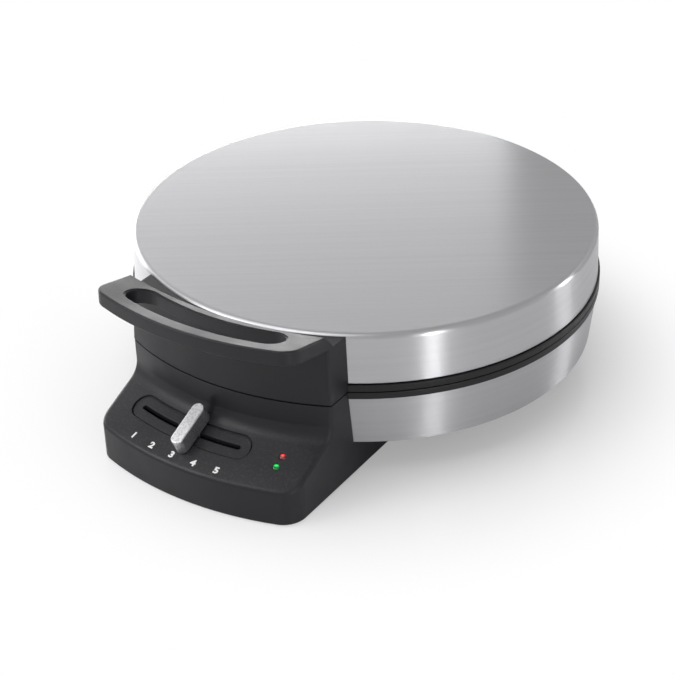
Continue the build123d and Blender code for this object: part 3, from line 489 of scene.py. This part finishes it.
@dataclass(frozen=True)
class MouldedPlastic(Finish):
    """Plastic with a fine eroded texture and a trace of dust."""

    colour: Colour
    roughness: float = 0.42
    spread: float = 0.06
    grain_scale: float = 1900.0
    grain: float = 0.10
    cloud: float = 0.18
    dust: float = 0.05
    dust_grey: float = 0.35
    broken_edge: float = 0.0006
    gloss: float = 0.36

    def work(self, surface: Surface, effects: Effects) -> None:
        """Wire the shader.

        Args:
            surface: The material under construction.
            effects: The shared node groups.
        """
        bench = surface.bench
        grain = surface.effect(effects.grain, Scale=self.grain_scale)
        dust = surface.effect(effects.dust, Amount=self.dust)
        deep = tuple(channel * (1.0 - self.cloud) for channel in self.colour)
        tone = bench.blend(grain.outputs["Cloud"], deep, self.colour)
        pale = tuple(min(1.0, channel / 2 + self.dust_grey) for channel in self.colour)
        surface.feed("Base Color", bench.blend(dust.outputs["Mask"], tone, pale))
        surface.cloud_roughness(grain, self.roughness - self.spread, self.roughness + self.spread)
        surface.put(Specular_IOR_Level=self.gloss)
        surface.bump(grain.outputs["Height"], self.grain, GRAIN_DEPTH, self.broken_edge)


@dataclass(frozen=True)
class Metal(Finish):
    """Plain worked metal: plated, blasted, rolled or burnt, by its values.

    tint is the second colour, tinted its share in the cloudy tone and speckle its share in
    the pits of the grain.
    """

    colour: Colour
    roughness: float
    grain_scale: float
    grain: float
    tint: Colour
    tinted: float
    speckle: float = 0.0
    spread: float = 0.15

    def work(self, surface: Surface, effects: Effects) -> None:
        """Wire the shader.

        Args:
            surface: The material under construction.
            effects: The shared node groups.
        """
        bench = surface.bench
        grain = surface.effect(effects.grain, Scale=self.grain_scale)
        share = bench.span(grain.outputs["Cloud"], 0.4, 0.75, to_high=self.tinted)
        tone = bench.blend(share, self.colour, self.tint)
        if self.speckle:
            pits = bench.span(grain.outputs["Height"], 0.55, 0.85, self.speckle, 0.0)
            tone = bench.blend(pits, tone, self.tint)
        surface.feed("Base Color", tone)
        surface.cloud_roughness(
            grain, self.roughness * (1.0 - self.spread), self.roughness * (1.0 + self.spread))
        surface.put(Metallic=1.0)
        surface.bump(grain.outputs["Height"], self.grain, GRAIN_DEPTH)


@dataclass(frozen=True)
class CoatedPlate(Finish):
    """Cast aluminium under a dark non-stick coating with fine flecks."""

    colour: Colour = (0.030, 0.030, 0.032)
    fleck: Colour = (0.20, 0.20, 0.21)
    fleck_scale: float = 2600.0
    smoothest: float = 0.31
    roughest: float = 0.43
    grain_scale: float = 1400.0
    grain: float = 0.12
    coat: float = 0.25
    coat_roughness: float = 0.3

    def work(self, surface: Surface, effects: Effects) -> None:
        """Wire the shader.

        Args:
            surface: The material under construction.
            effects: The shared node groups.
        """
        bench = surface.bench
        grain = surface.effect(effects.grain, Scale=self.grain_scale)
        specks = bench.noise(bench.place(), self.fleck_scale, detail=1.0, roughness=0.5)
        flecks = bench.span(specks, low=0.66, high=0.72, to_high=0.5)
        surface.feed("Base Color", bench.blend(flecks, self.colour, self.fleck))
        surface.cloud_roughness(grain, self.smoothest, self.roughest)
        surface.put(Coat_Weight=self.coat, Coat_Roughness=self.coat_roughness)
        surface.bump(grain.outputs["Height"], self.grain, GRAIN_DEPTH)


@dataclass(frozen=True)
class SoftRubber(Finish):
    """Matt rubber with a dry bloom, which is so many times as bright as its colour."""

    colour: Colour = (0.018, 0.018, 0.019)
    bloom: float = 2.2
    roughness: float = 0.75
    sheen: float = 0.15
    grain_scale: float = 1200.0
    grain: float = 0.25

    def work(self, surface: Surface, effects: Effects) -> None:
        """Wire the shader.

        Args:
            surface: The material under construction.
            effects: The shared node groups.
        """
        grain = surface.effect(effects.grain, Scale=self.grain_scale)
        dry = tuple(channel * self.bloom for channel in self.colour)
        surface.feed("Base Color", surface.bench.blend(grain.outputs["Cloud"], self.colour, dry))
        surface.put(Roughness=self.roughness, Sheen_Weight=self.sheen)
        surface.bump(grain.outputs["Height"], self.grain, GRAIN_DEPTH)


@dataclass(frozen=True)
class LampLens(Finish):
    """Coloured lens of a small lamp, lit from behind.

    It is brightest up to core from its centre and dimmest beyond rim.
    """

    colour: Colour
    centre: Point
    glow: float
    core: float = 0.0008
    rim: float = 0.0019
    dimmed: float = 0.12
    roughness: float = 0.14
    coat: float = 0.4
    grain_scale: float = 900.0

    def work(self, surface: Surface, effects: Effects) -> None:
        """Wire the shader.

        Args:
            surface: The material under construction.
            effects: The shared node groups.
        """
        bench = surface.bench
        grain = surface.effect(effects.grain, Scale=self.grain_scale)
        dim = tuple(channel * self.dimmed for channel in self.colour)
        offset = bench.add("ShaderNodeVectorMath", operation="DISTANCE")
        bench.wire(bench.place(), offset.inputs[0])
        offset.inputs[1].default_value = self.centre
        lit = bench.span(offset.outputs["Value"], self.core, self.rim, 1.0, 0.0)
        haze = bench.span(grain.outputs["Cloud"], low=0.2, high=0.6, to_low=0.8)
        tone = bench.blend(bench.calc("MULTIPLY", lit, haze), dim, self.colour)
        surface.feed("Base Color", tone)
        surface.feed("Emission Color", tone)
        surface.put(
            Emission_Strength=self.glow, Roughness=self.roughness, Coat_Weight=self.coat)


@dataclass(frozen=True)
class PadInk(Finish):
    """Opaque ink printed on plastic, a little thinner in spots."""

    colour: Colour = (0.86, 0.86, 0.85)
    thinned: float = 0.82
    roughness: float = 0.5
    grain_scale: float = 2400.0
    grain: float = 0.05
    depth: float = 0.00005

    def work(self, surface: Surface, effects: Effects) -> None:
        """Wire the shader.

        Args:
            surface: The material under construction.
            effects: The shared node groups.
        """
        grain = surface.effect(effects.grain, Scale=self.grain_scale)
        thin = tuple(channel * self.thinned for channel in self.colour)
        surface.feed("Base Color", surface.bench.blend(grain.outputs["Cloud"], thin, self.colour))
        surface.put(Roughness=self.roughness)
        surface.bump(grain.outputs["Height"], self.grain, self.depth)


def crown(node: str) -> Point:
    """Find the middle of the top of a CAD node.

    Args:
        node: Name of the node.

    Returns:
        The middle of the top of its box.
    """
    low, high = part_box(node)
    return ((low[0] + high[0]) / 2, (low[1] + high[1]) / 2, high[2])


class Finishes:
    """The finishes of the waffle maker, each made into a material once."""

    def __init__(self, effects: Effects) -> None:
        """Make every material.

        Args:
            effects: The shared node groups.
        """
        self.lid_steel = BrushedSteel("lid_steel", Brushing.LID, roughness=0.31).make(effects)
        self.band_steel = BrushedSteel(
            "band_steel", Brushing.ROUND_THE_DRUM, roughness=0.42, anisotropy=0.92).make(effects)
        self.housing = MouldedPlastic(
            "charcoal_housing", colour=(0.0125, 0.0125, 0.0155), roughness=0.42).make(effects)
        # Darker copy of the housing's charcoal plastic with painted shade in its colour: it
        # stands for the shade in the groove between the steel skirts, where the lid shell's ring
        # shows nearly black.
        self.inner_plastic_painted_shade = MouldedPlastic(
            "charcoal_inside_painted_shade", colour=(0.007, 0.007, 0.008), roughness=0.38).make(effects)
        self.knob = Metal(
            "blasted_knob", colour=(0.74, 0.74, 0.75), roughness=0.36, grain_scale=1300.0,
            grain=0.7, tint=(0.38, 0.38, 0.39), tinted=0.15, speckle=0.6).make(effects)
        self.zinc = Metal(
            "zinc_plate", colour=(0.62, 0.62, 0.60), roughness=0.28, grain_scale=900.0,
            grain=0.08, tint=(0.55, 0.53, 0.44), tinted=0.3).make(effects)
        self.sheath = Metal(
            "element_sheath", colour=(0.34, 0.33, 0.32), roughness=0.45, grain_scale=1100.0,
            grain=0.2, tint=(0.20, 0.17, 0.14), tinted=0.6).make(effects)
        self.sheet = Metal(
            "reflector_sheet", colour=(0.76, 0.76, 0.77), roughness=0.34, grain_scale=700.0,
            grain=0.06, tint=(0.60, 0.56, 0.48), tinted=0.35).make(effects)
        self.plate = CoatedPlate("plate_coating").make(effects)
        self.rubber = SoftRubber("foot_rubber").make(effects)
        self.red_lens = LampLens(
            "red_lens", colour=(0.70, 0.02, 0.03), centre=crown("power_lamp"),
            glow=0.8).make(effects)
        self.green_lens = LampLens(
            "green_lens", colour=(0.01, 0.60, 0.10), centre=crown("ready_lamp"),
            glow=1.0).make(effects)
        self.natural = MouldedPlastic(
            "natural_plastic", colour=(0.72, 0.71, 0.66), roughness=0.4, grain_scale=900.0,
            grain=0.05, cloud=0.08, dust=0.0).make(effects)
        self.ink = PadInk("scale_ink").make(effects)


def dress(material: bpy.types.Material, nodes: Sequence[str]) -> None:
    """Give CAD nodes a material.

    Args:
        material: The finish.
        nodes: Names of the nodes.
    """
    for name in nodes:
        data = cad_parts[name].data
        data.materials.clear()
        data.materials.append(material)
        LOG.info("%s is finished in %s", name, material.name)


@dataclass
class Panel:
    """The sloping front of the foot and what is printed on it.

    first_angle and angle_step are plan angles from the front, in degrees. slant is the
    figures' shear and number_weight what thickens their strokes.
    """

    edge_radius: float = 0.1502
    edge_z: float = 0.0176
    slope: float = math.radians(25.0)
    ink_lift: float = 0.00003
    ink_depth: float = 0.00006
    numbers: str = "12345"
    number_radius: float = 0.1462
    number_height: float = 0.0041
    number_width: float = 1.2
    number_weight: float = 0.00018
    first_angle: float = -12.1
    angle_step: float = 4.62
    slant: float = 0.05

    def wrap(self, piece: bpy.types.Object, radius: float, angle: float) -> None:
        """Lay a flat mesh on the sloping panel.

        Args:
            piece: Mesh drawn flat about its own origin, with Y up the slope.
            radius: Distance of its middle from the drum's axis.
            angle: Plan angle of its middle from the front, in degrees.
        """
        for vertex in piece.data.vertices:
            x, y, z = vertex.co
            reach = radius - y * math.cos(self.slope)
            turn = math.radians(angle) + self.number_width * x / radius
            height = self.edge_z + (self.edge_radius - reach) * math.tan(self.slope)
            vertex.co = (reach * math.sin(turn), DRUM_AXIS_Y - reach * math.cos(turn),
                         height + self.ink_lift + z)
        piece.data.update()

    def number(self, digit: str) -> bpy.types.Object:
        """Set one figure of the scale.

        Args:
            digit: The figure.

        Returns:
            The mesh of the figure, flat about its own origin.
        """
        bpy.ops.object.select_all(action="DESELECT")
        bpy.ops.object.text_add()
        text = bpy.context.object
        text.data.body = digit
        text.data.size = self.number_height
        text.data.shear = self.slant
        text.data.offset = self.number_weight
        text.data.extrude = self.ink_depth / 2
        text.data.align_x = "CENTER"
        text.data.align_y = "CENTER"
        bpy.ops.object.convert(target="MESH")
        piece = bpy.context.object
        piece.name = f"scale_number_{digit}"
        return piece

    def print_scale(self, ink: bpy.types.Material) -> None:
        """Print the numbers of the scale.

        Args:
            ink: The ink's material.
        """
        for step, digit in enumerate(self.numbers):
            piece = self.number(digit)
            self.wrap(piece, self.number_radius, self.first_angle + step * self.angle_step)
            piece.data.materials.append(ink)
            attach(piece, "base")
            LOG.info("%s is printed on the panel", piece.name)


@dataclass
class Lid:
    """The lid with its handle, shell, hinge block, plate and heater."""

    steel: tuple[str, ...] = ("lid_steel_cover",)
    housing: tuple[str, ...] = ("front_handle", "lid_hinge_block")
    inside: tuple[str, ...] = ("lid_shell",)
    plates: tuple[str, ...] = ("upper_baking_plate",)
    plated: tuple[str, ...] = (
        "handle_screws", "hinge_block_screws", "upper_plate_screws", "upper_reflector_screws")
    heaters: tuple[str, ...] = ("upper_heating_element",)
    reflectors: tuple[str, ...] = ("upper_heat_reflector",)
    fittings: tuple[str, ...] = ("upper_thermal_fuse",)

    def build(self, finishes: Finishes) -> None:
        """Finish the lid's pieces.

        Args:
            finishes: The materials.
        """
        dress(finishes.lid_steel, self.steel)
        dress(finishes.housing, self.housing)
        # The lid shell gets the darker copy of the housing plastic, with painted shade for the
        # groove between the skirts.
        dress(finishes.inner_plastic_painted_shade, self.inside)
        dress(finishes.plate, self.plates)
        dress(finishes.zinc, self.plated)
        dress(finishes.sheath, self.heaters)
        dress(finishes.sheet, self.reflectors)
        dress(finishes.natural, self.fittings)


@dataclass
class Base:
    """The base: drum, foot frame, panel, lower plate with its heater, and what is under it."""

    bands: tuple[str, ...] = ("base_band_left", "base_band_right")
    housing: tuple[str, ...] = ("foot_frame", "cord_gland")
    inside: tuple[str, ...] = ("base_bowl", "bottom_plate")
    plated: tuple[str, ...] = (
        "bottom_screws", "frame_screws", "lower_plate_screws", "lower_reflector_screws",
        "thermostat_screws", "hinge_pins", "thermostat_body")
    plates: tuple[str, ...] = ("lower_baking_plate",)
    heaters: tuple[str, ...] = ("lower_heating_element",)
    reflectors: tuple[str, ...] = ("lower_heat_reflector",)
    fittings: tuple[str, ...] = ("lower_thermal_fuse", "lamp_holder", "terminal_block")
    rests: tuple[str, ...] = ("rubber_feet",)
    red_lamps: tuple[str, ...] = ("power_lamp",)
    green_lamps: tuple[str, ...] = ("ready_lamp",)

    def build(self, finishes: Finishes) -> None:
        """Finish the base's pieces and print the panel.

        Args:
            finishes: The materials.
        """
        dress(finishes.band_steel, self.bands)
        dress(finishes.housing, self.housing)
        # The base bowl and bottom plate get the same darker copy of the housing plastic, with
        # painted shade in its colour.
        dress(finishes.inner_plastic_painted_shade, self.inside)
        dress(finishes.zinc, self.plated)
        dress(finishes.plate, self.plates)
        dress(finishes.sheath, self.heaters)
        dress(finishes.sheet, self.reflectors)
        dress(finishes.natural, self.fittings)
        dress(finishes.rubber, self.rests)
        dress(finishes.red_lens, self.red_lamps)
        dress(finishes.green_lens, self.green_lamps)
        Panel().print_scale(finishes.ink)


@dataclass
class Slider:
    """The browning slider: knob, arm and spindle."""

    knob: tuple[str, ...] = ("slider_knob",)
    plated: tuple[str, ...] = ("slider_arm", "thermostat_spindle")

    def build(self, finishes: Finishes) -> None:
        """Finish the slider's pieces.

        Args:
            finishes: The materials.
        """
        dress(finishes.knob, self.knob)
        dress(finishes.zinc, self.plated)


@dataclass
class PhotoCamera:
    """Camera fitted to the rims of the drum. Lengths are in metres, angles in degrees."""

    azimuth: float = 34.1
    elevation: float = 31.558
    roll: float = -1.571
    distance: float = 0.8
    offset_x: float = 0.013043
    offset_y: float = 0.058444
    focal_pixels: float = 1683.662
    image_pixels: float = 675.0
    sensor_mm: float = 36.0
    clip_start: float = 0.01
    clip_end: float = 50.0
    aim: Point = (0.0, DRUM_AXIS_Y, 0.073)

    def build(self) -> None:
        """Place the camera."""
        data = bpy.data.cameras.new("photo_camera")
        data.sensor_width = self.sensor_mm
        data.lens = self.focal_pixels * self.sensor_mm / self.image_pixels
        data.clip_start = self.clip_start
        data.clip_end = self.clip_end
        turn, rise, tilt = (math.radians(a) for a in (self.azimuth, self.elevation, self.roll))
        spin = Matrix.Rotation(turn, 3, "Z")
        back = spin @ Vector((0.0, -math.cos(rise), math.sin(rise)))
        level = spin @ Vector((1.0, 0.0, 0.0))
        steep = spin @ Vector((0.0, math.sin(rise), math.cos(rise)))
        right = level * math.cos(tilt) + steep * math.sin(tilt)
        upward = steep * math.cos(tilt) - level * math.sin(tilt)
        axes = Matrix((right, upward, back)).transposed()
        place = (Vector(self.aim) - right * self.offset_x - upward * self.offset_y
                 + back * self.distance)
        camera = bpy.data.objects.new("photo_camera", data)
        bpy.context.scene.collection.objects.link(camera)
        camera.matrix_world = Matrix.Translation(place) @ axes.to_4x4()
        bpy.context.scene.camera = camera
        LOG.info("the camera stands at %s", tuple(round(c, 3) for c in place))


@dataclass(frozen=True)
class SoftBox:
    """One soft area lamp that faces the drum. Its angles are in degrees, its power in watts."""

    name: str
    azimuth: float
    elevation: float
    distance: float
    width: float
    height: float
    power: float
    aim: Point = (0.0, DRUM_AXIS_Y, 0.05)

    def build(self) -> None:
        """Place the lamp."""
        data = bpy.data.lights.new(self.name, "AREA")
        data.shape = "RECTANGLE"
        data.size = self.width
        data.size_y = self.height
        data.energy = self.power
        turn, rise = math.radians(self.azimuth), math.radians(self.elevation)
        away = Vector((math.sin(turn) * math.cos(rise), -math.cos(turn) * math.cos(rise),
                       math.sin(rise)))
        lamp = bpy.data.objects.new(self.name, data)
        bpy.context.scene.collection.objects.link(lamp)
        lamp.location = Vector(self.aim) + away * self.distance
        lamp.rotation_mode = "QUATERNION"
        lamp.rotation_quaternion = (-away).to_track_quat("-Z", "Y")
        lamp.visible_camera = False


@dataclass
class Studio:
    """Pale floor, soft world light and the lamps.

    The camera sees the floor turn into white paper between near and far from the middle,
    and has at least the share paper of it everywhere. Mirrored, it turns white between
    mirror_near and mirror_far. sky holds heights, from 0 at the horizon to 1 overhead, and
    the grey of each.
    """

    floor_size: float = 8.0
    floor_grey: Colour = (0.82, 0.82, 0.825)
    floor_roughness: float = 0.22
    near: float = 0.10
    far: float = 0.19
    paper: float = 0.30
    mirror_near: float = 0.35
    mirror_far: float = 1.4
    sky: tuple[tuple[float, float], ...] = (
        (0.0, 0.40), (0.30, 0.60), (0.42, 0.74), (0.52, 0.60), (0.75, 0.50), (1.0, 0.60))
    lamps: tuple[SoftBox, ...] = (
        SoftBox("front_strip", azimuth=60.5, elevation=6.0, distance=0.75,
                width=0.045, height=0.36, power=0.78),
        SoftBox("side_strip", azimuth=130.0, elevation=6.0, distance=0.75,
                width=0.05, height=0.36, power=0.68),
        SoftBox("back_box", azimuth=-140.0, elevation=10.0, distance=0.48,
                width=0.34, height=0.08, power=0.72),
        SoftBox("left_box", azimuth=-100.0, elevation=9.0, distance=0.65,
                width=0.40, height=0.30, power=1.1),
        SoftBox("front_box", azimuth=-40.0, elevation=30.0, distance=0.9,
                width=0.45, height=0.45, power=2.4),
        SoftBox("overhead", azimuth=-30.0, elevation=62.0, distance=1.3,
                width=0.9, height=0.9, power=4.5),
    )

    def world(self) -> None:
        """Light the scene from a pale sky, brightest about 25 degrees up."""
        world = bpy.data.worlds.new("studio")
        world.use_nodes = True
        bpy.context.scene.world = world
        bench = Bench(world.node_tree)
        parts = bench.add("ShaderNodeSeparateXYZ")
        bench.wire(bench.add("ShaderNodeTexCoord").outputs["Generated"], parts.inputs[0])
        ramp = bench.add("ShaderNodeValToRGB")
        bench.wire(parts.outputs["Z"], ramp.inputs[0])
        stops = ramp.color_ramp.elements
        while len(stops) < len(self.sky):
            stops.new(0.5)
        for stop, (place, grey) in zip(stops, self.sky):
            stop.position = place
            stop.color = (grey, grey, grey, 1.0)
        bench.wire(ramp.outputs[0], world.node_tree.nodes["Background"].inputs["Color"])

    def floor(self) -> None:
        """Lay the floor, which fades to the white of the background away from the object."""
        bpy.ops.mesh.primitive_plane_add(size=self.floor_size, location=(0.0, 0.0, 0.0))
        floor = bpy.context.object
        floor.name = "studio_floor"
        surface = Surface("studio_floor")
        bench = surface.bench
        surface.put(Base_Color=(*self.floor_grey, 1.0), Roughness=self.floor_roughness)
        output = surface.material.node_tree.nodes["Material Output"]
        length = bench.add("ShaderNodeVectorMath", operation="LENGTH")
        bench.wire(bench.place(), length.inputs[0])
        away = length.outputs["Value"]
        path = bench.add("ShaderNodeLightPath").outputs
        paper = bench.span(away, self.near, self.far, self.paper, 1.0)
        horizon = bench.span(away, self.mirror_near, self.mirror_far)
        mirrored = bench.calc("MAXIMUM", path["Is Glossy Ray"], path["Is Transmission Ray"])
        seen = bench.calc("MULTIPLY", paper, path["Is Camera Ray"])
        reflected = bench.calc("MULTIPLY", horizon, mirrored)
        white = bench.add("ShaderNodeEmission")
        mix = bench.add("ShaderNodeMixShader")
        bench.wire(bench.calc("MAXIMUM", seen, reflected), mix.inputs[0])
        bench.wire(surface.shader.outputs[0], mix.inputs[1])
        bench.wire(white.outputs[0], mix.inputs[2])
        bench.wire(mix.outputs[0], output.inputs["Surface"])
        floor.data.materials.append(surface.material)

    def build(self) -> None:
        """Build the studio."""
        self.world()
        self.floor()
        for lamp in self.lamps:
            lamp.build()
            LOG.info("lamp %s is placed", lamp.name)
        bpy.context.scene.view_settings.view_transform = "Standard"


def main() -> None:
    """Build the scene in order."""
    PhotoCamera().build()
    Studio().build()
    finishes = Finishes(Effects())
    Lid().build(finishes)
    Base().build(finishes)
    Slider().build(finishes)


if __name__ == "__main__":
    main()
